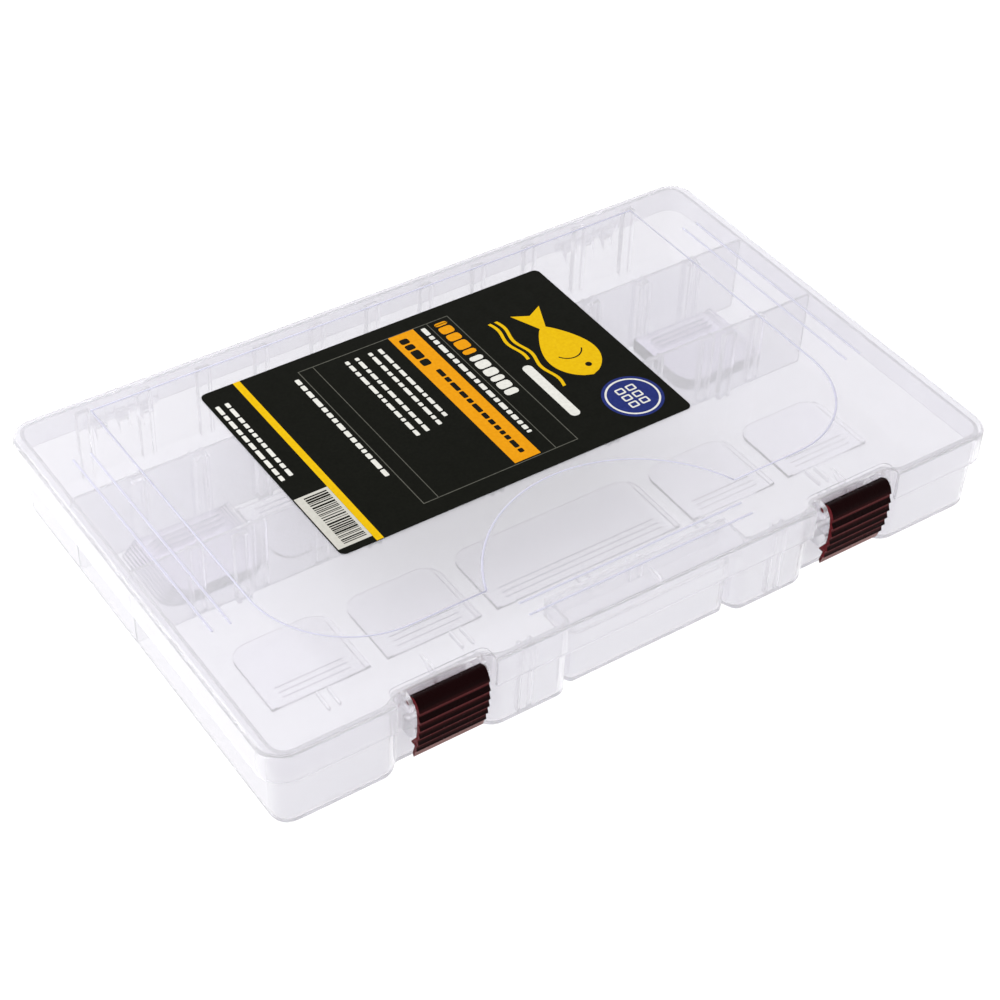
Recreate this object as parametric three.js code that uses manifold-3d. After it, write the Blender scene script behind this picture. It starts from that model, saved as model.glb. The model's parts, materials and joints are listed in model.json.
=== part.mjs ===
// A clear tackle box: a compartment tray with a hinged lid, two swing latches, a printed
// card on the lid and a set of loose dividers. Millimetres, +X along the length, +Y towards
// the hinges, +Z up, with the origin at the middle of the footprint on the ground.
import * as THREE from 'three';
import { mergeVertices } from 'three/addons/utils/BufferGeometryUtils.js';
import Module from 'manifold-3d';

const wasm = await Module();
wasm.setup();

// Driving dimensions
const WALL = 1.6;
const GAP = 0.3;

const LID = { halfX: 177.8, halfY: 111.5, corner: 11.5, edge: 2.5 };
const LID_SKIRT_Z = 26.7;
const LID_TOP_Z = 41.7;
const LID_UNDER_Z = 40.4;
const LID_RIB_Z = 42.0;
const PANEL_Z = 41.3;

const TRAY = { halfX: 174.0, halfY: 109.4, corner: 9.0 };
const TRAY_TOP_Z = LID_UNDER_Z - GAP;
const TRAY_FLOOR_Z = 2.1;
const TRAY_DRAFT = 0.8;
const TRAY_ROUND = 2.0;
const ROW_WALL_THICK = 1.4;
const ROW_WALLS = [56.6, 6.2];

const SLOT = { half: 3.3, gapHalf: 1.7, pad: 1.8, reach: 3.0, top: 38.0 };
const SLOT_PITCH = 28.8;
const SLOT_COUNT = 11;
const BAY_SLOT_PITCH = 62.5;

const LATCH_X = 100.5;
const LATCH_WIDTH = 31.8;
const LATCH_FRONT_Y = -115.9;
const PIVOT = { y: -109.5, z: 38.5, pin: 1.3, bore: 1.6 };
const POCKET_X = 101.0;
const POCKET = { half: 22.3, backY: -102.5, wallY: -106.0, corner: 4.0, lowZ: 34.0 };
const RECESS = { mouthHalf: 23.4, floorHalf: 19.3, y: -104.5 };

const MIDDLE_Y = -106.0;
const GROOVE = { towerX: 43.8, tipX: 40.6, panelX: 38.2, tipY: -102.2 };
const THUMB = { half: 43.0, y: -94.5, z: 29.5, corner: 5.0 };

const HINGE = { x: 124.0, y: 113.0, z: 25.0, pin: 1.3, bore: 1.6, lug: 2.9 };
const LUG_WIDTH = 5.0;
const LUG_PITCH = 11.0;
const HINGE_HALF = 17.5;

const DIVIDER = { width: 45.0, height: 38.0, corner: 9.0, plate: 1.0, bead: 1.6, beadWidth: 2.4 };
const LONG_DIVIDER_WIDTH = 94.5;
const STACK_STEP_Z = DIVIDER.bead + GAP;

// Closed geometry as a solid, and back
function toSolid(geometry) {
  const bare = geometry.clone();
  bare.deleteAttribute('normal');
  bare.deleteAttribute('uv');
  const welded = mergeVertices(bare, 1e-4);
  return new wasm.Manifold(new wasm.Mesh({
    numProp: 3,
    vertProperties: new Float32Array(welded.attributes.position.array),
    triVerts: new Uint32Array(welded.index.array),
  }));
}

function toGeometry(solid) {
  const mesh = solid.getMesh();
  const geometry = new THREE.BufferGeometry();
  geometry.setAttribute('position', new THREE.BufferAttribute(mesh.vertProperties, 3));
  geometry.setIndex(new THREE.BufferAttribute(mesh.triVerts, 1));
  geometry.computeVertexNormals();
  return geometry;
}

const join = (solids) => solids.reduce((whole, solid) => whole.add(solid));

// Basic shapes
function box([x0, x1], [y0, y1], [z0, z1]) {
  const geometry = new THREE.BoxGeometry(x1 - x0, y1 - y0, z1 - z0);
  geometry.translate((x0 + x1) / 2, (y0 + y1) / 2, (z0 + z1) / 2);
  return toSolid(geometry);
}

function roundedRectangle(halfX, halfY, radius) {
  const shape = new THREE.Shape();
  shape.absarc(halfX - radius, halfY - radius, radius, 0, Math.PI / 2);
  shape.absarc(radius - halfX, halfY - radius, radius, Math.PI / 2, Math.PI);
  shape.absarc(radius - halfX, radius - halfY, radius, Math.PI, 1.5 * Math.PI);
  shape.absarc(halfX - radius, radius - halfY, radius, 1.5 * Math.PI, 2 * Math.PI);
  return shape;
}

function polygon(points) {
  return new THREE.Shape(points.map(([a, b]) => new THREE.Vector2(a, b)));
}

// A closed outline of [x, y, cut] corners, each rounded off from a distance cut before it
function roundedPolygon(corners) {
  const shape = new THREE.Shape();
  corners.forEach(([x, y, cut], i) => {
    const corner = new THREE.Vector2(x, y);
    const [before, after] = [corners.at(i - 1), corners[(i + 1) % corners.length]].map(([nx, ny]) => (
      new THREE.Vector2(nx, ny).sub(corner).setLength(cut).add(corner)
    ));
    if (i === 0) {
      shape.moveTo(before.x, before.y);
    } else {
      shape.lineTo(before.x, before.y);
    }
    shape.quadraticCurveTo(corner.x, corner.y, after.x, after.y);
  });
  return shape;
}

// An outline in X and Y pulled up from z0 to z1
function upright(shape, [z0, z1], curveSegments = 6) {
  const geometry = new THREE.ExtrudeGeometry(shape, { depth: z1 - z0, bevelEnabled: false, curveSegments });
  geometry.translate(0, 0, z0);
  return geometry;
}

// The same, with its edge rounded off at the bottom and past the top
function basin(shape, [z0, z1], round) {
  const geometry = new THREE.ExtrudeGeometry(shape, {
    depth: z1 - z0,
    bevelThickness: round,
    bevelSize: round,
    bevelOffset: -round,
    bevelSegments: 3,
    curveSegments: 6,
  });
  geometry.translate(0, 0, z0 + round);
  return geometry;
}

// An outline in Y and Z pulled along X from x0 to x1
function along(shape, [x0, x1], curveSegments = 6) {
  const geometry = new THREE.ExtrudeGeometry(shape, { depth: x1 - x0, bevelEnabled: false, curveSegments });
  const turn = new THREE.Matrix4().makeBasis(
    new THREE.Vector3(0, 1, 0),
    new THREE.Vector3(0, 0, 1),
    new THREE.Vector3(1, 0, 0),
  );
  geometry.applyMatrix4(turn);
  geometry.translate(x0, 0, 0);
  return toSolid(geometry);
}

function disc(y, z, radius, sides = 16) {
  const points = [];
  for (let i = 0; i < sides; i += 1) {
    const angle = (2 * Math.PI * i) / sides;
    points.push([y + radius * Math.cos(angle), z + radius * Math.sin(angle)]);
  }
  return polygon(points);
}

// Draft: the section shrinks towards the ground by TRAY_DRAFT a side
function drafted(geometry) {
  const position = geometry.attributes.position;
  for (let i = 0; i < position.count; i += 1) {
    const lack = TRAY_DRAFT * (1 - position.getZ(i) / TRAY_TOP_Z);
    position.setX(i, position.getX(i) * (1 - lack / TRAY.halfX));
    position.setY(i, position.getY(i) * (1 - lack / TRAY.halfY));
  }
  return geometry;
}

// Tray
// A slot is a raised pad with a rib at each side. side is +1 where it stands out towards +Y.
function slot(x, wallY, side, [z0, z1]) {
  const root = wallY - side * 0.4;
  const pad = wallY + side * SLOT.pad;
  const tip = wallY + side * SLOT.reach;
  const outline = polygon([
    [x - SLOT.half, root], [x - SLOT.half, tip], [x - SLOT.gapHalf, tip], [x - SLOT.gapHalf, pad],
    [x + SLOT.gapHalf, pad], [x + SLOT.gapHalf, tip], [x + SLOT.half, tip], [x + SLOT.half, root],
  ]);
  return toSolid(upright(outline, [z0, z1]));
}

function rowSlots() {
  const slots = [];
  const half = ROW_WALL_THICK / 2;
  const zRange = [TRAY_FLOOR_Z - 0.3, SLOT.top];
  const backWall = TRAY.halfY - WALL;
  for (let i = 0; i < SLOT_COUNT; i += 1) {
    const x = (i - (SLOT_COUNT - 1) / 2) * SLOT_PITCH;
    slots.push(slot(x, backWall - 0.4, -1, zRange));
    slots.push(slot(x, ROW_WALLS[0] + half, 1, zRange));
    slots.push(slot(x, ROW_WALLS[0] - half, -1, zRange));
    slots.push(slot(x, ROW_WALLS[1] + half, 1, zRange));
  }
  return slots;
}

function baySlots() {
  const slots = [];
  const half = ROW_WALL_THICK / 2;
  const zRange = [TRAY_FLOOR_Z - 0.3, SLOT.top];
  const ribLength = 9.8;
  const ribBackY = -58.2;
  for (let i = -2; i <= 2; i += 1) {
    const x = i * BAY_SLOT_PITCH;
    slots.push(slot(x, ROW_WALLS[1] - half, -1, zRange));
    for (const side of [-1, 1]) {
      const ribX = x + side * 2.5;
      slots.push(box([ribX - 0.5, ribX + 0.5], [ribBackY - ribLength, ribBackY], [TRAY_FLOOR_Z - 0.3, 4.2]));
    }
  }
  for (const x of [-BAY_SLOT_PITCH, BAY_SLOT_PITCH]) {
    slots.push(slot(x, WALL + 0.5 - TRAY.halfY, 1, zRange));
  }
  slots.push(slot(0, THUMB.y + WALL, 1, [THUMB.z - WALL, SLOT.top]));
  return slots;
}

// The tray's outline in plan, or its inner face where inset is the wall. The front goes in
// at each latch and steps back between two grooves in the middle.
function trayOutline(inset) {
  const halfX = TRAY.halfX - inset;
  const halfY = TRAY.halfY - inset;
  const corner = TRAY.corner - inset;
  const lean = 0.47 * inset;
  const front = [];
  for (const side of [-1, 1]) {
    const recess = [
      [side * POCKET_X - (RECESS.mouthHalf + lean), -halfY, 4.4],
      [side * POCKET_X - (RECESS.floorHalf + lean), RECESS.y + inset, 1.6],
      [side * POCKET_X + (RECESS.floorHalf + lean), RECESS.y + inset, 1.6],
      [side * POCKET_X + (RECESS.mouthHalf + lean), -halfY, 4.4],
    ];
    const groove = [
      [side * (GROOVE.towerX + 0.7 * inset), -halfY, 3.6],
      [side * GROOVE.tipX, GROOVE.tipY + 1.3 * inset, 0.8],
      [side * (GROOVE.panelX - 0.7 * inset), MIDDLE_Y + inset, 1.6],
    ];
    front.push(...(side < 0 ? [...recess, ...groove] : [...groove.reverse(), ...recess]));
  }
  return roundedPolygon([
    [halfX, halfY, corner], [-halfX, halfY, corner], [-halfX, -halfY, corner], ...front,
    [halfX, -halfY, corner],
  ]);
}

// The scoop for a thumb under the lid's front edge, or the same scoop grown by the wall
function thumbScoop(grow) {
  const half = THUMB.half + grow;
  const low = THUMB.z - grow;
  const high = TRAY_TOP_Z + 1;
  const front = roundedPolygon([
    [-half, high, 0.5], [-half, low, THUMB.corner], [half, low, THUMB.corner], [half, high, 0.5],
  ]);
  const geometry = upright(front, [-THUMB.y - grow, TRAY.halfY + 2], 5);
  geometry.rotateX(Math.PI / 2);
  return toSolid(geometry);
}

function catchLedge(side) {
  const outline = polygon([
    [RECESS.y + 0.5, 17.2], [-108.6, 17.2], [-112.3, 22.6], [-112.4, 25.2], [-111.6, 26], [RECESS.y + 0.5, 26],
  ]);
  const middle = side * LATCH_X;
  return along(outline, [middle - LATCH_WIDTH / 2, middle + LATCH_WIDTH / 2]);
}

function hingeLugs(side) {
  const lugs = [];
  const rootY = TRAY.halfY - 1;
  for (const step of [-1, 0, 1]) {
    const middle = side * HINGE.x + step * LUG_PITCH;
    const width = [middle - LUG_WIDTH / 2, middle + LUG_WIDTH / 2];
    const web = polygon([
      [rootY, 17], [rootY, HINGE.z + HINGE.lug], [HINGE.y, HINGE.z + HINGE.lug],
      [HINGE.y, HINGE.z - HINGE.lug],
    ]);
    const round = along(disc(HINGE.y, HINGE.z, HINGE.lug), width);
    const bore = along(disc(HINGE.y, HINGE.z, HINGE.bore), [width[0] - 1, width[1] + 1]);
    const mouth = box([width[0] - 1, width[1] + 1], [HINGE.y - 1.1, HINGE.y + 1.1], [HINGE.z, HINGE.z + 4]);
    lugs.push(along(web, width).add(round).subtract(bore).subtract(mouth));
  }
  return lugs;
}

function trayGeometry() {
  const block = box([-LID.halfX, LID.halfX], [-LID.halfY, LID.halfY], [-1, TRAY_TOP_Z]);
  const outer = toSolid(drafted(basin(trayOutline(0), [0, TRAY_TOP_Z], TRAY_ROUND))).intersect(block);
  const inner = toSolid(drafted(basin(trayOutline(WALL), [TRAY_FLOOR_Z, TRAY_TOP_Z + 1], TRAY_ROUND / 2)));
  const wallBoxes = ROW_WALLS.map((y) => (
    box([-TRAY.halfX, TRAY.halfX], [y - ROW_WALL_THICK / 2, y + ROW_WALL_THICK / 2], [0, TRAY_TOP_Z + 2])
  ));
  const rooms = inner.subtract(join(wallBoxes)).subtract(thumbScoop(WALL));
  const shell = outer.subtract(thumbScoop(0)).subtract(rooms);
  const extras = [...rowSlots(), ...baySlots()];
  for (const side of [-1, 1]) {
    extras.push(catchLedge(side), ...hingeLugs(side));
  }
  return toGeometry(shell.add(join(extras)));
}

// Lid
function lidShell() {
  const { halfX, halfY, corner, edge } = LID;
  const bevelled = new THREE.ExtrudeGeometry(roundedRectangle(halfX, halfY, corner), {
    depth: LID_TOP_Z - LID_SKIRT_Z,
    bevelThickness: edge,
    bevelSize: edge,
    bevelOffset: -edge,
    bevelSegments: 3,
    curveSegments: 6,
  });
  bevelled.translate(0, 0, LID_SKIRT_Z - edge);
  const body = toSolid(bevelled);
  const below = box([-halfX - 1, halfX + 1], [-halfY - 1, halfY + 1], [0, LID_SKIRT_Z]);
  const hollowShape = roundedRectangle(halfX - WALL, halfY - WALL + 0.1, corner - WALL);
  const hollow = toSolid(upright(hollowShape, [0, LID_UNDER_Z]));
  return body.subtract(below).subtract(hollow);
}

// The sunk panel on top: square at the back, round at the front, less a round boss
function panelRecess() {
  const halfX = 141.8;
  const backY = 102;
  const frontY = -78;
  const radius = 46;
  const shape = new THREE.Shape();
  shape.moveTo(halfX, backY);
  shape.lineTo(-halfX, backY);
  shape.absarc(radius - halfX, frontY + radius, radius, Math.PI, 1.5 * Math.PI);
  shape.absarc(halfX - radius, frontY + radius, radius, 1.5 * Math.PI, 2 * Math.PI);
  const recess = toSolid(upright(shape, [PANEL_Z, LID_TOP_Z + 1], 8));
  const boss = new THREE.Shape();
  boss.absarc(0, -101.5, 66, 0, 2 * Math.PI);
  return recess.subtract(toSolid(upright(boss, [PANEL_Z - 1, LID_TOP_Z + 2], 24)));
}

function lidRibs() {
  const ribs = [];
  const high = [LID_TOP_Z - 0.3, LID_RIB_Z];
  for (const x of [154.3, 162.3]) {
    for (const side of [-1, 1]) {
      ribs.push(box([side * x - 0.5, side * x + 0.5], [-41, 77], high));
    }
  }
  for (const y of [-90.7, -98]) {
    ribs.push(box([-55.2, 55.2], [y - 0.5, y + 0.5], high));
  }
  return ribs;
}

// Where a latch hangs: the shoulder cut away, a wall behind, and a cheek at each side
function pocketCut(side) {
  const middle = side * POCKET_X;
  const { half, backY, wallY, corner } = POCKET;
  const plan = (reach, cut) => roundedPolygon([
    [middle + half, reach, cut], [middle - half, reach, cut],
    [middle - half, -LID.halfY - 1, 0.2], [middle + half, -LID.halfY - 1, 0.2],
  ]);
  const shoulder = toSolid(upright(plan(wallY, 2), [LID_SKIRT_Z - 1, LID_RIB_Z + 1]));
  const slope = along(polygon([[wallY - 0.5, 41.0], [wallY - 0.5, 43], [backY, 43], [backY, 41.5]]), [
    middle - half - 1, middle + half + 1,
  ]);
  const dish = toSolid(upright(plan(backY, corner), [LID_UNDER_Z, LID_RIB_Z + 1])).intersect(slope);
  return shoulder.add(dish);
}

function pocketParts(side) {
  const middle = side * LATCH_X;
  const backHalf = RECESS.floorHalf - GAP;
  const back = box(
    [side * POCKET_X - backHalf, side * POCKET_X + backHalf],
    [POCKET.wallY, RECESS.y - GAP],
    [POCKET.lowZ, LID_UNDER_Z + 0.5],
  );
  const parts = [back];
  for (const end of [-1, 1]) {
    const near = LATCH_WIDTH / 2 + GAP;
    const faces = [middle + end * near, middle + end * (near + 1.8)].sort((a, b) => a - b);
    const cheek = roundedPolygon([
      [-105.5, POCKET.lowZ, 0.2], [-111.9, POCKET.lowZ, 2.2], [-111.9, 41.1, 4.2], [-105.5, 41.1, 0.2],
    ]);
    const bore = along(disc(PIVOT.y, PIVOT.z, PIVOT.bore), [faces[0] - 1, faces[1] + 1]);
    parts.push(along(cheek, faces).subtract(bore));
  }
  return parts;
}

function gussets() {
  const plates = [[-LATCH_X - 1, -92, 10, 6], [LATCH_X + 1, -92, 10, 6], [1, -98.5, 9.5, 4.5]];
  return plates.map(([x, backY, length, drop]) => along(polygon([
    [backY, LID_UNDER_Z + 0.4], [backY - length, LID_UNDER_Z + 0.4], [backY - length, LID_UNDER_Z - drop],
  ]), [x - 0.6, x + 0.6]));
}

function hingeArms(side) {
  const middle = side * HINGE.x;
  const rod = along(disc(HINGE.y, HINGE.z, HINGE.pin), [middle - HINGE_HALF, middle + HINGE_HALF]);
  const outline = polygon([
    [110.2, 33], [110.2, 27.6], [111.6, 24.4], [113, 23.5], [114.4, 24.4], [114.5, 26.5], [111.4, 33],
  ]);
  const parts = [rod];
  for (const [near, far] of [[3.5, 7.5], [14.5, HINGE_HALF]]) {
    parts.push(along(outline, [middle + near, middle + far]));
    parts.push(along(outline, [middle - far, middle - near]));
  }
  return parts;
}

function lidGeometry() {
  const cuts = [panelRecess()];
  const parts = [...lidRibs(), ...gussets()];
  for (const side of [-1, 1]) {
    const middle = side * HINGE.x;
    cuts.push(pocketCut(side));
    cuts.push(box([middle - HINGE_HALF, middle + HINGE_HALF], [109, LID.halfY + 1], [LID_SKIRT_Z - 1, 29.2]));
    parts.push(...pocketParts(side), ...hingeArms(side));
  }
  return toGeometry(lidShell().subtract(join(cuts)).add(join(parts)));
}

// Latch
// The outer face bows out from the pivot to a flared lip, with ribs below its smooth top.
function latchOutline() {
  const spine = new THREE.SplineCurve([
    new THREE.Vector2(-107.8, 40.0), new THREE.Vector2(-111.0, 41.2), new THREE.Vector2(-113.6, 39.5),
    new THREE.Vector2(-115.3, 35.5), new THREE.Vector2(LATCH_FRONT_Y, 29.5), new THREE.Vector2(-115.4, 22.5),
    new THREE.Vector2(-113.9, 15.2), new THREE.Vector2(-111.6, 9.5),
  ]);
  const ribCount = 6;
  const ribTop = 36.2;
  const ribPitch = 4.4;
  const scallop = [[0.4, 0.8], [1.4, 1.1], [2.4, 1.0]];
  const points = spine.getPoints(21).filter((p) => p.y > ribTop + 1).map((p) => [p.x, p.y]);
  const crests = spine.getPoints(210);
  const faceY = (z) => crests.reduce((best, p) => (Math.abs(p.y - z) < Math.abs(best.y - z) ? p : best)).x;
  for (let i = 0; i < ribCount; i += 1) {
    const z = ribTop - i * ribPitch;
    points.push([faceY(z), z]);
    const steps = i === ribCount - 1 ? scallop.slice(0, 1) : scallop;
    for (const [drop, depth] of steps) {
      points.push([faceY(z - drop) + depth, z - drop]);
    }
  }
  points.push([-111.4, 9.5], [-110.6, 11.2]);
  points.push([-112, 16.5], [-109.4, 16.6], [-112.95, 22], [-113.5, 26], [-113.5, 31.5]);
  points.push([-112.9, 36.2], [-111.6, 38.2], [-109.5, 38.2], [-108.2, 38.6]);
  return polygon(points);
}

function latchGeometry(side) {
  const middle = side * LATCH_X;
  const half = LATCH_WIDTH / 2;
  const plate = along(latchOutline(), [middle - half, middle + half]);
  const pinReach = half + 1.4;
  const pin = along(disc(PIVOT.y, PIVOT.z, PIVOT.pin), [middle - pinReach, middle + pinReach]);
  return toGeometry(plate.add(pin));
}

// Printed card
function cardGeometry() {
  const halfX = 87.7;
  const halfY = 58.7;
  const geometry = upright(roundedRectangle(halfX, halfY, 3), [PANEL_Z + 0.1, LID_TOP_Z], 3);
  geometry.translate(-11.1, 27.7, 0);
  return geometry;
}

// Divider: a thin plate with a thick bead down each side, two round corners and grip lines
function dividerGeometry(width) {
  const { height, corner, plate, bead, beadWidth } = DIVIDER;
  const half = width / 2;
  const shape = new THREE.Shape();
  shape.moveTo(-half, 0);
  shape.lineTo(half, 0);
  shape.absarc(half - corner, height - corner, corner, 0, Math.PI / 2);
  shape.absarc(corner - half, height - corner, corner, Math.PI / 2, Math.PI);
  const body = toSolid(upright(shape, [0, bead], 4));
  const sunk = box([beadWidth - half, half - beadWidth], [-1, height + 1], [plate, bead + 1]);
  const lines = [4, 7, 10].map((y) => (
    box([7 - half, half - 7], [y - 0.3, y + 0.3], [plate - 0.2, bead - 0.2])
  ));
  return toGeometry(body.subtract(sunk).add(join(lines)));
}

// Assembly
const tackleBox = new THREE.Group();
const clear = { color: 0xeceaf4, roughness: 0.12, metalness: 0 };

function addPiece(name, geometry, look) {
  const mesh = new THREE.Mesh(geometry, new THREE.MeshStandardMaterial(look));
  mesh.name = name;
  tackleBox.add(mesh);
  return mesh;
}

addPiece('tray', trayGeometry(), clear);
addPiece('lid', lidGeometry(), clear);
addPiece('label_card', cardGeometry(), { color: 0x11120c, roughness: 0.55, metalness: 0 });
addPiece('latch_left', latchGeometry(-1), { color: 0x4a1015, roughness: 0.4, metalness: 0 });
addPiece('latch_right', latchGeometry(1), { color: 0x4a1015, roughness: 0.4, metalness: 0 });

// Loose dividers lying flat: a row in the front bay, two fanned stacks and one more behind
const LYING_Z = TRAY_FLOOR_Z + GAP;
const FRONT_ROW_Y = -57.4;

function layDivider(name, width, x, y, z, turn = 0) {
  const mesh = addPiece(name, dividerGeometry(width), clear);
  mesh.position.set(x, y, z);
  mesh.rotation.z = turn;
}

[-124.5, -71.5, 83, 136].forEach((x, i) => {
  layDivider(`divider_front_${i + 1}`, DIVIDER.width, x, FRONT_ROW_Y, LYING_Z);
});
layDivider('divider_front_long', LONG_DIVIDER_WIDTH, 6.2, FRONT_ROW_Y, LYING_Z);

const STACK_COUNT = 6;
const STACK_BACK_Y = 52.5;
layDivider('divider_middle', DIVIDER.width, -79, STACK_BACK_Y, LYING_Z, Math.PI);
for (const [name, side, lean] of [['left', -1, 1], ['right', 1, -1]]) {
  for (let i = 0; i < STACK_COUNT; i += 1) {
    const x = side * 131 + lean * (i - 2.5) * 0.7;
    const y = STACK_BACK_Y - i * 0.8;
    layDivider(`divider_${name}_${i + 1}`, DIVIDER.width, x, y, LYING_Z + i * STACK_STEP_Z, Math.PI);
  }
}

export default tackleBox;
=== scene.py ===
"""A clear tackle box: filleted clear mouldings, maroon latches, loose dividers and a printed
card, on a white studio floor. Metres, +X along the length, +Y to the hinges, +Z up."""
import json
import math
import random

import bmesh
import bpy
from mathutils import Matrix, Vector


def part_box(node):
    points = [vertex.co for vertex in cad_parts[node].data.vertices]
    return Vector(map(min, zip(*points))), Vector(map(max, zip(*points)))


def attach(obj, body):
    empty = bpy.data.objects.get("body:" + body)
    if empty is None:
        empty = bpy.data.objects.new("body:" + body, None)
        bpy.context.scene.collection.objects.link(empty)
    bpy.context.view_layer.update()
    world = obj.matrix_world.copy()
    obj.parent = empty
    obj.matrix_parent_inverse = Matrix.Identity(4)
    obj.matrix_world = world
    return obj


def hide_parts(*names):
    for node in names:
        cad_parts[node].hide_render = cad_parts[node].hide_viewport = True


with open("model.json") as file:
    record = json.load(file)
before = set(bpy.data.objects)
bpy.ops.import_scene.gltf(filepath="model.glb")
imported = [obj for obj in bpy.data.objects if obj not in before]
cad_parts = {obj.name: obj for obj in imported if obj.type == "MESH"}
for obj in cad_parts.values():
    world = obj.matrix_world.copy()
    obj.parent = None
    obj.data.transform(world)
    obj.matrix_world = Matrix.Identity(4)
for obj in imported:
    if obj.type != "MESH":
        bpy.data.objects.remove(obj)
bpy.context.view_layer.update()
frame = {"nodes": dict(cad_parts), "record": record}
MM = 0.001
random.seed(14)

# View
CAMERA_AZIMUTH = math.radians(-35.816)
CAMERA_ELEVATION = math.radians(41.621)
CAMERA_ROLL = math.radians(2.462)
CAMERA_DISTANCE = 0.94964
CAMERA_TARGET = Vector((-0.01640, -0.02166, 0.0250))
CAMERA_LENS = 81.82

# Light
WORLD_STRENGTH = 0.86
KEY_PLACE = Vector((-0.56, 0.36, 0.58))
KEY_SIZE = 0.9
KEY_POWER = 4.0
FLOOR_COLOUR = (0.45, 0.45, 0.45, 1)
FLOOR_GLOW = 0.69

# Fillets, in metres, and the angle from which an edge gets one
FILLET = {"tray": 0.22 * MM, "lid": 0.14 * MM, "latch": 0.12 * MM, "divider": 0.15 * MM, "card": 0.05 * MM}
FILLET_ANGLE = math.radians(30)

# Where the mouldings' large flat faces are divided, in millimetres: at plus and minus each X,
# and at each Y
CUTS_X = {"tray": (15, 50, 75, 104, 140, 160), "lid": (25, 70, 104, 130, 148, 158.5)}
CUTS_Y = {"tray": (84, 31.5, -25, -75), "lid": (90, 30, -20, -60, -84, -94)}


def rgb(red, green, blue):
    """A shader colour from 0 to 255 display values."""
    linear = []
    for value in (red, green, blue):
        share = value / 255
        linear.append(share / 12.92 if share <= 0.04045 else ((share + 0.055) / 1.055) ** 2.4)
    return (*linear, 1)


# Node helpers
def new_material(name):
    material = bpy.data.materials.new(name)
    material.use_nodes = True
    material.node_tree.nodes.clear()
    return material, material.node_tree


def add(tree, kind, **values):
    """A node with its sockets set by name, underscores standing for spaces."""
    node = tree.nodes.new(kind)
    for name, value in values.items():
        node.inputs[name.replace("_", " ")].default_value = value
    return node


def noise(tree, scale, detail, stretch=(1, 1, 1)):
    """Noise in object space, with scale in features per metre."""
    where = tree.nodes.new("ShaderNodeTexCoord")
    shape = tree.nodes.new("ShaderNodeMapping")
    shape.inputs["Scale"].default_value = stretch
    tree.links.new(where.outputs["Object"], shape.inputs["Vector"])
    texture = add(tree, "ShaderNodeTexNoise", Scale=scale, Detail=detail)
    tree.links.new(shape.outputs["Vector"], texture.inputs["Vector"])
    return texture.outputs["Fac"]


def remap(tree, source, start, end, low, high):
    """source, from start to end, becomes low to high and goes no further."""
    node = add(tree, "ShaderNodeMapRange", From_Min=start, From_Max=end, To_Min=low, To_Max=high)
    tree.links.new(source, node.inputs["Value"])
    return node.outputs["Result"]


def spread(tree, source, low, high):
    """Noise, which lies mostly between 0.3 and 0.7, spread from low to high."""
    return remap(tree, source, 0.3, 0.7, low, high)


def combine(tree, operation, first, second):
    """Two numbers made into one by a Math node."""
    node = tree.nodes.new("ShaderNodeMath")
    node.operation = operation
    tree.links.new(first, node.inputs[0])
    tree.links.new(second, node.inputs[1])
    return node.outputs[0]


def blend(tree, source, first, second):
    """A colour between first and second, each a colour or the output of another node."""
    node = tree.nodes.new("ShaderNodeMix")
    node.data_type = "RGBA"
    for socket, value in ((node.inputs[6], first), (node.inputs[7], second)):
        if isinstance(value, tuple):
            socket.default_value = value
        else:
            tree.links.new(value, socket)
    tree.links.new(source, node.inputs[0])
    return node.outputs[2]


def bump(tree, height, distance):
    """A relief as deep as distance, in metres."""
    node = add(tree, "ShaderNodeBump", Strength=1.0, Distance=distance)
    tree.links.new(height, node.inputs["Height"])
    return node.outputs["Normal"]


def finish_surface(tree, shader):
    output = tree.nodes.new("ShaderNodeOutputMaterial")
    tree.links.new(shader, output.inputs["Surface"])
    return output


# Materials
# The colour that thick clear plastic tends to
DEPTH_TINT = (0.70, 0.68, 0.78, 1)

# Heights on a latch, in millimetres: its plate leans in below the belly, most at the foot
LATCH_BELLY, LATCH_LIP_TOP, LATCH_FOOT = 29.5, 13.6, 9.5


def clear_plastic(name, tint, shadow, roughness, clarity, absorb=0):
    """Clear polypropylene, cloudier as clarity goes down, with slow waves in its faces. Shadow and
    diffuse rays pass straight through it, tinted by shadow. absorb is the density of the colour
    that its thickness gives."""
    material, tree = new_material(name)
    glass = add(tree, "ShaderNodeBsdfPrincipled", Base_Color=tint, IOR=1.49, Transmission_Weight=clarity)
    cloud = noise(tree, 45, detail=3)
    tree.links.new(spread(tree, cloud, roughness * 0.6, roughness * 1.5), glass.inputs["Roughness"])
    tree.links.new(bump(tree, noise(tree, 32, detail=1), 0.03 * MM), glass.inputs["Normal"])
    clear = add(tree, "ShaderNodeBsdfTransparent", Color=shadow)
    path = tree.nodes.new("ShaderNodeLightPath")
    straight = combine(tree, "MAXIMUM", path.outputs["Is Shadow Ray"], path.outputs["Is Diffuse Ray"])
    mix = tree.nodes.new("ShaderNodeMixShader")
    tree.links.new(straight, mix.inputs[0])
    tree.links.new(glass.outputs[0], mix.inputs[1])
    tree.links.new(clear.outputs[0], mix.inputs[2])
    output = finish_surface(tree, mix.outputs[0])
    if absorb:
        depth = add(tree, "ShaderNodeVolumeAbsorption", Color=DEPTH_TINT, Density=absorb)
        tree.links.new(depth.outputs[0], output.inputs["Volume"])
    return material


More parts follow.
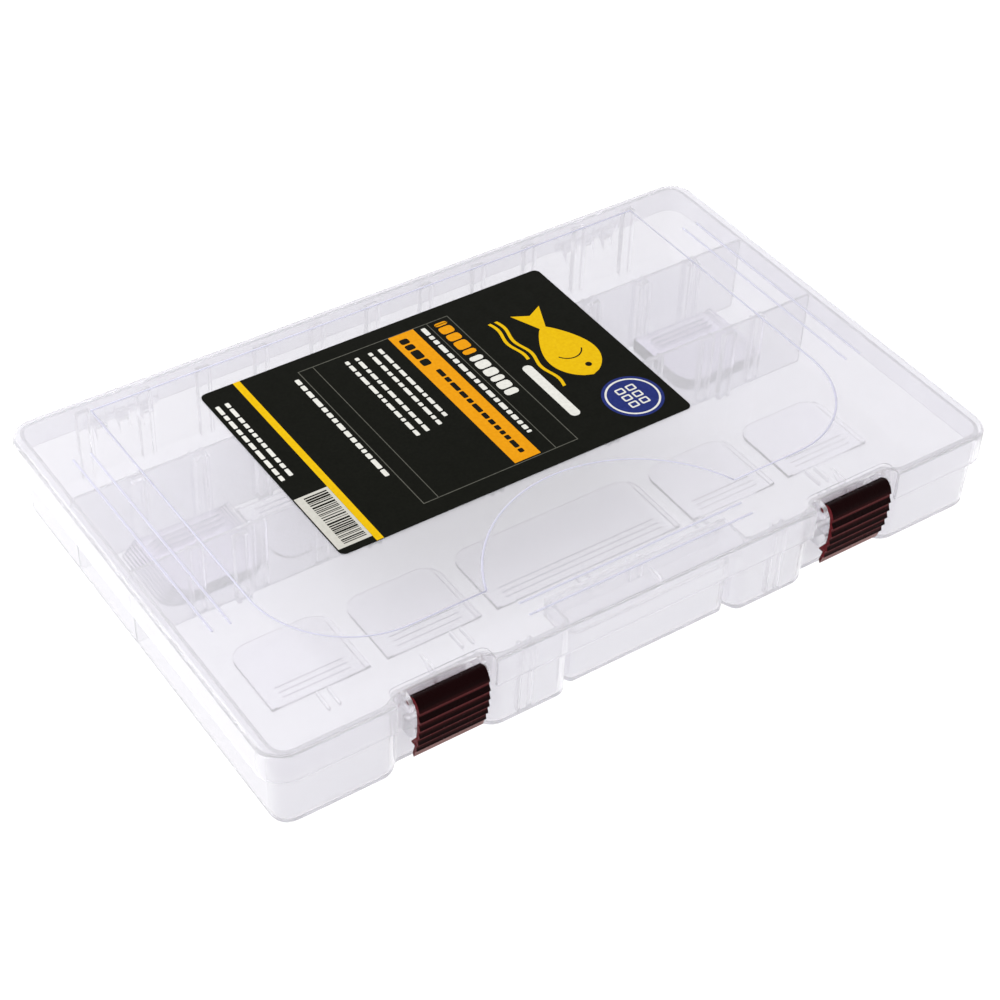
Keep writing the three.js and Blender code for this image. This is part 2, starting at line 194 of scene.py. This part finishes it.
def latch_plastic(name, upper_painted_shade, front):
    """Maroon moulding with painted light by the way each face turns: deepest in colour where it
    faces up, as painted shade, and redder where it faces out, as a painted reflection of the bright
    floor. The plate leans in towards its foot, so the lean is given back before the facing is judged."""
    material, tree = new_material(name)
    shader = add(tree, "ShaderNodeBsdfPrincipled", IOR=1.5, Specular_IOR_Level=0.04)
    where = tree.nodes.new("ShaderNodeTexCoord")
    facing = tree.nodes.new("ShaderNodeSeparateXYZ")
    place = tree.nodes.new("ShaderNodeSeparateXYZ")
    tree.links.new(where.outputs["Normal"], facing.inputs[0])
    tree.links.new(where.outputs["Object"], place.inputs[0])
    # How far the normal's Z drops at the foot, and the Z at which a face counts as facing out or up
    lean_at_foot, faces_out, faces_up = 0.36, 0.16, 0.4
    lean = remap(tree, place.outputs["Z"], LATCH_BELLY * MM, LATCH_FOOT * MM, 0, lean_at_foot)
    rise = combine(tree, "ADD", facing.outputs["Z"], lean)
    # Painted shade where a face turns up, painted reflection of the floor where it turns out
    colour = blend(tree, remap(tree, rise, faces_out, faces_up, 0, 1), front, upper_painted_shade)
    flow = spread(tree, noise(tree, 90, detail=3, stretch=(0.3, 1, 1)), 0.0, 0.3)
    tree.links.new(blend(tree, flow, colour, (0, 0, 0, 1)), shader.inputs["Base Color"])
    tree.links.new(spread(tree, noise(tree, 260, detail=4), 0.20, 0.36), shader.inputs["Roughness"])
    tree.links.new(bump(tree, noise(tree, 1400, detail=2), 0.02 * MM), shader.inputs["Normal"])
    finish_surface(tree, shader.outputs[0])
    return material


def printed(name, low, high):
    """Ink on coated card: fine mottle in the colour and paper tooth in the relief."""
    material, tree = new_material(name)
    shader = add(tree, "ShaderNodeBsdfPrincipled", Specular_IOR_Level=0.045)
    mottle = spread(tree, noise(tree, 700, detail=4), 0, 1)
    tree.links.new(blend(tree, mottle, low, high), shader.inputs["Base Color"])
    tree.links.new(spread(tree, noise(tree, 160, detail=3), 0.44, 0.58), shader.inputs["Roughness"])
    tree.links.new(bump(tree, noise(tree, 2500, detail=2), 0.01 * MM), shader.inputs["Normal"])
    finish_surface(tree, shader.outputs[0])
    return material


def floor_paper():
    """White paper lit from below, so that the clear box keeps its soft, nearly shadowless look."""
    material, tree = new_material("floor_paper")
    shader = add(
        tree, "ShaderNodeBsdfPrincipled", Base_Color=FLOOR_COLOUR, Roughness=0.9, Specular_IOR_Level=0.0,
        Emission_Color=(1, 1, 1, 1), Emission_Strength=FLOOR_GLOW,
    )
    finish_surface(tree, shader.outputs[0])
    return material


# Mesh helpers
def in_scene(name, data):
    thing = bpy.data.objects.new(name, data)
    bpy.context.scene.collection.objects.link(thing)
    return thing


def new_object(name, mesh, body, slot, *materials):
    """A piece of the object, riding on a body, with its faces' materials in order."""
    piece = in_scene(name, mesh)
    mesh.materials.clear()
    for material in materials:
        mesh.materials.append(material)
    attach(piece, body)
    return piece


def kept_mesh(name, mesh):
    """The working mesh written to a mesh of that name, and freed."""
    data = bpy.data.meshes.new(name)
    mesh.to_mesh(data)
    mesh.free()
    return data


def body_of(node):
    bodies = frame["record"]["behaviour"]["bodies"]
    return next(name for name, nodes in bodies.items() if node in nodes)


def cut_across(mesh, axis, places):
    """Divides every face where it crosses these places on the axis, given in millimetres."""
    for place in places:
        at = Vector((0, 0, 0))
        at[axis] = place * MM
        along = Vector((0, 0, 0))
        along[axis] = 1
        parts = mesh.verts[:] + mesh.edges[:] + mesh.faces[:]
        bmesh.ops.bisect_plane(mesh, geom=parts, dist=1e-7, plane_co=at, plane_no=along)


def filleted(node, width, segments=2, cuts_x=(), cuts_y=()):
    """The CAD node's shape with its flat faces made whole and its edges rounded. The rounded
    faces take the second material. The cuts keep a large flat face in simple parts."""
    source = frame["nodes"][node].data.copy()
    mesh = bmesh.new()
    mesh.from_mesh(source)
    bmesh.ops.remove_doubles(mesh, verts=mesh.verts, dist=1e-6)
    flat = math.radians(0.5)
    bmesh.ops.dissolve_limit(mesh, angle_limit=flat, verts=mesh.verts, edges=mesh.edges)
    cut_across(mesh, 0, cuts_x)
    cut_across(mesh, 1, cuts_y)
    for face in mesh.faces:
        face.smooth = True
        face.material_index = 0
    mesh.to_mesh(source)
    mesh.free()
    source.materials.clear()
    source.materials.append(None)
    source.materials.append(None)
    helper = in_scene("helper", source)
    rounder = helper.modifiers.new("fillet", "BEVEL")
    rounder.width = width
    rounder.segments = segments
    rounder.limit_method = "ANGLE"
    rounder.angle_limit = FILLET_ANGLE
    rounder.use_clamp_overlap = False
    rounder.loop_slide = True
    rounder.miter_outer = "MITER_SHARP"
    rounder.material = 1
    weighted = helper.modifiers.new("flat_faces_lead", "WEIGHTED_NORMAL")
    weighted.mode = "FACE_AREA"
    weighted.weight = 100
    graph = bpy.context.evaluated_depsgraph_get()
    result = bpy.data.meshes.new_from_object(helper.evaluated_get(graph))
    bpy.data.objects.remove(helper)
    bpy.data.meshes.remove(source)
    return result


# Printed shapes: flat slabs of ink, sunk a little in the card, with a rise for each layer. What
# is printed on another ink is in the layer OVER it.
CARD_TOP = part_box("label_card")[1].z
INK_SUNK = 0.02 * MM
INK_RISE = 0.03 * MM
OVER = 2


def slab(mesh, outline, layer=1, hole=None):
    """A closed slab of ink over an outline in millimetres, or between it and a hole of as many
    points. A higher layer lies on a lower one."""
    low = CARD_TOP - INK_SUNK
    high = CARD_TOP + layer * INK_RISE
    loops = []
    for points in (outline, hole or []):
        loops.append([[mesh.verts.new((x * MM, y * MM, z)) for x, y in points] for z in (low, high)])
    for turned, (bottom, top) in enumerate(loops):
        count = len(bottom)
        for i in range(count):
            j = (i + 1) % count
            side = [bottom[i], bottom[j], top[j], top[i]]
            mesh.faces.new(side[::-1] if turned else side)
    (outer_low, outer_high), (inner_low, inner_high) = loops
    if hole:
        for i in range(len(outline)):
            j = (i + 1) % len(outline)
            mesh.faces.new([outer_high[i], outer_high[j], inner_high[j], inner_high[i]])
            mesh.faces.new([outer_low[j], outer_low[i], inner_low[i], inner_low[j]])
    else:
        mesh.faces.new(outer_high)
        mesh.faces.new(outer_low[::-1])


def rectangle(x0, x1, y0, y1):
    left, right = sorted((x0, x1))
    front, back = sorted((y0, y1))
    return [(left, front), (right, front), (right, back), (left, back)]


def rounded(x0, x1, y0, y1, radius, steps=5):
    left, right = sorted((x0, x1))
    front, back = sorted((y0, y1))
    middles = [
        (right - radius, back - radius, 0), (left + radius, back - radius, 90),
        (left + radius, front + radius, 180), (right - radius, front + radius, 270),
    ]
    points = []
    for x, y, start in middles:
        for i in range(steps + 1):
            angle = math.radians(start + 90 * i / steps)
            points.append((x + radius * math.cos(angle), y + radius * math.sin(angle)))
    return points


def circle(x, y, radius, count=72):
    angles = [2 * math.pi * i / count for i in range(count)]
    return [(x + radius * math.cos(a), y + radius * math.sin(a)) for a in angles]


def ink(name, material, draw):
    """All that is printed in one colour, as one piece."""
    mesh = bmesh.new()
    draw(mesh)
    mesh.normal_update()
    bmesh.ops.triangulate(mesh, faces=[face for face in mesh.faces if len(face.verts) > 4])
    bmesh.ops.recalc_face_normals(mesh, faces=mesh.faces)
    new_object(name, kept_mesh(name, mesh), "lid", "printed_card", material)


# The card. Its print runs along -Y, so a line of it is a row of short bars down the card. Each
# place is in millimetres: two ends along X, then where it starts and stops along Y.
PRINT = {
    "stripe": (-82.5, -79.2, 86.3, -30.9),
    "banner": (-9.2, 3.8, 78, -21.3),
    "banner_number": (-2.0, -6.4, 74, 52),
    "banner_words": (-1.2, -3.6, 48, -17),
    "heading_start": (13, 19.7, 75.8, 49.2),
    "heading_end": (13, 19.7, 47.5, 15),
    "motto": (6.5, 8.8, 76, -8),
    "name_bar": (28.8, 33.6, 30, -9.5),
    "long_line": (-57.0, -59.2, 74, 0),
    "frame": (-55, 22.2, 78.3, -22.5),
    "code_patch": (-98.3, -82.6, 7.5, -27.5),
    "code_stripes": (-84.0, -94.6, 6.0, -26),
}
LIST_ROWS = (-15.6, -20.6, -27.4, -32.4)
SMALL_ROWS = (-90.4, -94.9)
ROW_HEIGHT = 1.9
RULES = (-47.8, 10.8)
RULE_WIDTH = 0.35
HAIRLINE = 0.4
FISH = {"x": 53.5, "y": 36.5, "length": 54, "height": 23}
BADGE = {"x": 58.8, "y": -11.7, "radius": 13.7, "ring": (12.2, 11.3)}


def words(mesh, x0, x1, y0, y1, layer=1):
    """A line of print as a row of plain bars of uneven length, from y0 down to y1."""
    shortest, longest, gap, too_short = 2.0, 6.5, 1.0, 1.2
    corner = 0.22 * abs(x1 - x0)
    y = y0
    while y > y1 + too_short:
        length = min(random.uniform(shortest, longest), y - y1)
        slab(mesh, rounded(x0, x1, y, y - length, corner, steps=2), layer)
        y -= length + gap


def fish_outline(x, y, length, height):
    """A plain fish seen from the side, its nose towards -Y, with a shallow fork in its tail."""
    steps = 24
    body_share, fin_reach, fin_tip, fork_root = 0.72, 0.34, 0.97, 0.82
    half = length / 2
    sides = []
    for side in (1, -1):
        edge = []
        for i in range(steps + 1):
            along = i / steps
            swell = math.sin(math.pi * along ** 0.75) ** 0.85
            reach = height * (0.5 * swell + 0.07 * along)
            edge.append((x + side * reach, y - half + body_share * length * along))
        edge.append((x + side * fin_reach * height, y + fin_tip * half))
        sides.append(edge)
    fork = (x, y + fork_root * half)
    return sides[0] + [fork] + sides[1][:0:-1]


def gill_outline(x, y):
    """A thin bow across the fish behind its eye, bulging towards its nose."""
    turns = [0.5 + 0.1 * i for i in range(22)]
    outer, inner = [[(x + r * math.cos(a), y - 1.1 * r * math.sin(a)) for a in turns] for r in (7.5, 6.9)]
    return outer + inner[::-1]


def wave(x, y, count):
    """A wavy band of even width, from y down, with count points on each edge."""
    width, swell, bend, step = 1.6, 1.0, 2.6, 1.3
    edge = [(x + swell * math.sin(i / bend), y - i * step) for i in range(count)]
    return edge + [(px + width, py) for px, py in reversed(edge)]


def draw_yellow(mesh):
    """The stripe over the small print, the fish, and two waves under the fish."""
    slab(mesh, rectangle(*PRINT["stripe"]))
    slab(mesh, fish_outline(FISH["x"], FISH["y"], FISH["length"], FISH["height"]))
    for x, count in ((37.2, 42), (33.8, 24)):
        slab(mesh, wave(x, 63, count))


def draw_orange(mesh):
    slab(mesh, rectangle(*PRINT["banner"]))
    words(mesh, *PRINT["heading_start"])


def draw_white(mesh):
    """The bar that stands for a name, most of the lines of print, and the badge's ring and grid."""
    slab(mesh, rounded(*PRINT["name_bar"], radius=2.2))
    words(mesh, *PRINT["heading_end"])
    words(mesh, *PRINT["motto"])
    for x in LIST_ROWS:
        words(mesh, x, x - ROW_HEIGHT, 73.5, 20 + 6 * math.sin(x))
    words(mesh, *PRINT["long_line"])
    for x in SMALL_ROWS:
        words(mesh, x, x - ROW_HEIGHT, 76, 20)
    outer, inner = BADGE["ring"]
    slab(mesh, circle(BADGE["x"], BADGE["y"], outer), OVER, circle(BADGE["x"], BADGE["y"], inner))
    wide, deep, wall = 4.4, 3.8, 0.8
    for row in range(3):
        for column in range(2):
            x = BADGE["x"] - 5.0 + 5.6 * column
            y = BADGE["y"] + 7.2 - 5.0 * row
            outside = rounded(x, x + wide, y, y - deep, radius=0.7, steps=3)
            inside = rounded(x + wall, x + wide - wall, y - wall, y - deep + wall, radius=0.3, steps=3)
            slab(mesh, outside, OVER, inside)


def draw_dark(mesh):
    """The banner's print, the fish's eye and gill, and random stripes in place of a bar code."""
    words(mesh, *PRINT["banner_number"], OVER)
    words(mesh, *PRINT["banner_words"], OVER)
    slab(mesh, circle(FISH["x"] + 2.2, FISH["y"] - 20, 1.5, count=24), OVER)
    slab(mesh, gill_outline(FISH["x"], FISH["y"] - 5), OVER)
    high, low, y, stop = PRINT["code_stripes"]
    while y > stop:
        width = random.choice((0.35, 0.5, 0.75, 1.0))
        slab(mesh, rectangle(high, low, y, y - width), OVER)
        y -= width + random.choice((0.4, 0.6, 0.9))


def draw_grey(mesh):
    """A thin frame round the print, with two rules across it."""
    x0, x1, y0, y1 = PRINT["frame"]
    inside = rectangle(x0 + HAIRLINE, x1 - HAIRLINE, y0 - HAIRLINE, y1 + HAIRLINE)
    slab(mesh, rectangle(x0, x1, y0, y1), hole=inside)
    for x in RULES:
        slab(mesh, rectangle(x, x + RULE_WIDTH, y0 - HAIRLINE / 2, y1 + HAIRLINE / 2))


def draw_pale(mesh):
    slab(mesh, rectangle(*PRINT["code_patch"]))


def draw_blue(mesh):
    slab(mesh, circle(BADGE["x"], BADGE["y"], BADGE["radius"]))


# What each ink draws, then the ends of its mottled colour
INKS = {
    "yellow": (draw_yellow, rgb(222, 176, 2), rgb(230, 188, 10)),
    "orange": (draw_orange, rgb(222, 146, 6), rgb(232, 156, 14)),
    "white": (draw_white, rgb(216, 215, 208), rgb(230, 229, 222)),
    "dark": (draw_dark, rgb(16, 15, 9), rgb(22, 21, 14)),
    "grey": (draw_grey, rgb(84, 84, 76), rgb(98, 98, 90)),
    "pale": (draw_pale, rgb(196, 194, 185), rgb(206, 204, 196)),
    "blue": (draw_blue, rgb(34, 44, 106), rgb(40, 52, 118)),
}


def build_card():
    mesh = filleted("label_card", FILLET["card"], segments=1)
    card = new_object(
        "card_sheet", mesh, "lid", "printed_card",
        printed("card_black", rgb(11, 12, 7), rgb(17, 18, 12)),
        printed("card_cut_edge", rgb(60, 60, 55), rgb(90, 90, 84)),
    )
    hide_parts("label_card")
    for name, (draw, low, high) in INKS.items():
        ink(f"ink_{name}", printed(f"print_{name}", low, high), draw)


# Mouldings. The sunk panel on the lid, and the beads that line it, are in millimetres.
PANEL = {"half": 141.8, "back": 102.0, "front": -78.0, "radius": 46.0, "arch": 66.0, "arch_y": -101.5}
BEAD = {"width": 1.0, "height": 0.24, "base": 41.6}
# A bead's section, in shares of its width and height
BEAD_PROFILE = [(-0.5, 0), (-0.3, 0.8), (0, 1), (0.3, 0.8), (0.5, 0)]
# What is higher than this is the top of a raised line
LINE_Z = 41.75 * MM


def build_mouldings():
    passing = rgb(253, 253, 254)
    # Painted shade: the tray is tinted darker than the lid so that its walls read darker
    tints_with_painted_shade = {"tray": rgb(236, 235, 238), "lid": rgb(243, 242, 245)}
    # The fillets and the tops of raised lines take cloudier lavender copies of the plastic: painted shade for
    # the dark lines that light bent at clear edges draws
    line = clear_plastic("raised_lines_painted_shade", rgb(212, 211, 228), passing, 0.2, clarity=0.2)
    for node, tint in tints_with_painted_shade.items():
        clear = clear_plastic(f"{node}_polypropylene", tint, passing, 0.05, clarity=0.82, absorb=2)
        edge = clear_plastic(f"{node}_edges", rgb(208, 206, 224), passing, 0.20, clarity=0.4)
        both = [side * x for x in CUTS_X[node] for side in (-1, 1)]
        mesh = filleted(node, FILLET[node], cuts_x=both, cuts_y=CUTS_Y[node])
        piece = new_object(f"{node}_moulding", mesh, body_of(node), "clear_plastic", clear, edge, line)
        # Tops of raised lines take the painted-shade copy
        for face in piece.data.polygons:
            if face.center.z > LINE_Z:
                face.material_index = 2
        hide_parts(node)


def bead(mesh, path):
    """A low rounded bead standing on the lid along a path in millimetres."""
    rings = []
    for i, (x, y) in enumerate(path):
        before = Vector(path[max(i - 1, 0)])
        after = Vector(path[min(i + 1, len(path) - 1)])
        ahead = (after - before).normalized()
        ring = []
        for aside, rise in BEAD_PROFILE:
            px = x - ahead.y * aside * BEAD["width"]
            py = y + ahead.x * aside * BEAD["width"]
            pz = BEAD["base"] + rise * BEAD["height"]
            ring.append(mesh.verts.new((px * MM, py * MM, pz * MM)))
        rings.append(ring)
    for first, second in zip(rings, rings[1:]):
        for i in range(len(BEAD_PROFILE)):
            j = (i + 1) % len(BEAD_PROFILE)
            mesh.faces.new([first[i], first[j], second[j], second[i]])
    mesh.faces.new(rings[0])
    mesh.faces.new(rings[-1][::-1])


def arc(x, y, radius, start, end):
    """Points round a centre, from start to end in degrees."""
    steps = 28
    angles = [math.radians(start + (end - start) * i / steps) for i in range(steps + 1)]
    return [(x + radius * math.cos(a), y + radius * math.sin(a)) for a in angles]


def build_panel_beads():
    """The moulded line round the sunk panel, with an arch that bows back from its front."""
    half, back, front, radius = PANEL["half"], PANEL["back"], PANEL["front"], PANEL["radius"]
    arch = PANEL["arch"]
    crossing = math.degrees(math.asin((front - PANEL["arch_y"]) / arch))
    foot = arch * math.cos(math.radians(crossing))
    mesh = bmesh.new()
    left = arc(radius - half, front + radius, radius, 180, 270)
    right = arc(half - radius, front + radius, radius, 270, 360)
    bead(mesh, [(-half, back)] + left + [(-foot, front)])
    bead(mesh, [(foot, front)] + right + [(half, back), (-half, back)])
    bead(mesh, arc(0, PANEL["arch_y"], arch, 180 - crossing, crossing))
    bmesh.ops.recalc_face_normals(mesh, faces=mesh.faces)
    for face in mesh.faces:
        face.smooth = True
    # The beads are an opaque lavender copy of the plastic: painted shade in place of the line that light bent
    # by a clear bead would draw
    line = clear_plastic("beads_painted_shade", rgb(208, 207, 225), rgb(252, 252, 254), 0.3, clarity=0.0)
    new_object("panel_beads", kept_mesh("panel_beads", mesh), "lid", "clear_plastic", line)


def build_dividers():
    tint, painted_edge_tint = rgb(254, 253, 255), rgb(222, 220, 238)
    clear = clear_plastic("divider_polypropylene", tint, rgb(254, 254, 255), 0.08, clarity=0.98)
    # Fillets take a cloudier lavender copy: painted shade for the dark lines along clear edges
    edge = clear_plastic("divider_painted_edge_lines", painted_edge_tint, rgb(250, 250, 253), 0.2, clarity=0.5)
    for node in frame["nodes"]:
        if node.startswith("divider"):
            mesh = filleted(node, FILLET["divider"])
            piece = new_object(f"{node}_plate", mesh, body_of(node), "divider_plastic", clear, edge)
            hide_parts(node)


def build_latches():
    """One moulding each, lighter at its ends and along the lip at its foot than on its faces. The
    lip's paler colour is a painted reflection of the white floor.
    """
    face = latch_plastic("maroon_faces", rgb(20, 0, 1), rgb(90, 36, 38))
    rim = latch_plastic("maroon_rims", rgb(66, 16, 20), rgb(92, 26, 31))
    # The lip's pale colour is a painted reflection of the floor
    lip = latch_plastic("maroon_lips_painted_reflection", rgb(96, 54, 52), rgb(132, 92, 88))
    for node in ("latch_left", "latch_right"):
        mesh = filleted(node, FILLET["latch"])
        piece = new_object(f"{node}_moulding", mesh, body_of(node), "latch_plastic", face, rim, lip)
        for side in piece.data.polygons:
            at_end = abs(side.normal.x) > 0.3
            at_lip = side.center.z < LATCH_LIP_TOP * MM and side.normal.y < -0.5
            side.material_index = 1 if at_end else 2 * at_lip
        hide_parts(node)


# Stage
def build_camera():
    data = bpy.data.cameras.new("camera")
    data.lens = CAMERA_LENS
    data.sensor_width = 36
    data.clip_end = 400
    camera = in_scene("camera", data)
    level = math.cos(CAMERA_ELEVATION)
    back = Vector((
        math.sin(CAMERA_AZIMUTH) * level, -math.cos(CAMERA_AZIMUTH) * level, math.sin(CAMERA_ELEVATION),
    ))
    across = Vector((0, 0, 1)).cross(back).normalized()
    above = back.cross(across)
    right = across * math.cos(CAMERA_ROLL) + above * math.sin(CAMERA_ROLL)
    up = above * math.cos(CAMERA_ROLL) - across * math.sin(CAMERA_ROLL)
    place = Matrix((right, up, back)).transposed().to_4x4()
    place.translation = CAMERA_TARGET + back * CAMERA_DISTANCE
    camera.matrix_world = place
    bpy.context.scene.camera = camera


def build_stage():
    """A floor far wider than the view, a hair under the box, one soft lamp and a white sky."""
    mesh = bpy.data.meshes.new("floor")
    reach = 150
    under = -0.02 * MM
    corners = [(-reach, -reach, under), (reach, -reach, under), (reach, reach, under), (-reach, reach, under)]
    mesh.from_pydata(corners, [], [(0, 1, 2, 3)])
    mesh.materials.append(floor_paper())
    floor = in_scene("floor", mesh)
    lamp = bpy.data.lights.new("key", "AREA")
    lamp.shape = "DISK"
    lamp.size = KEY_SIZE
    lamp.energy = KEY_POWER
    key = in_scene("key", lamp)
    key.location = KEY_PLACE
    key.rotation_euler = KEY_PLACE.to_track_quat("Z", "Y").to_euler()
    world = bpy.data.worlds.new("studio")
    world.use_nodes = True
    sky = world.node_tree.nodes["Background"]
    sky.inputs["Color"].default_value = (1, 1, 1, 1)
    sky.inputs["Strength"].default_value = WORLD_STRENGTH
    bpy.context.scene.world = world


def set_light_depth():
    """Plain colours, and enough bounces for light to pass through every clear wall in the box."""
    scene = bpy.context.scene
    scene.view_settings.view_transform = "Standard"
    scene.cycles.max_bounces = 32
    scene.cycles.transmission_bounces = 28
    scene.cycles.transparent_max_bounces = 64
    scene.cycles.glossy_bounces = 6
    scene.cycles.diffuse_bounces = 3
    scene.cycles.caustics_reflective = False
    scene.cycles.caustics_refractive = False


build_camera()
build_stage()
build_mouldings()
build_panel_beads()
build_dividers()
build_latches()
build_card()
set_light_depth()
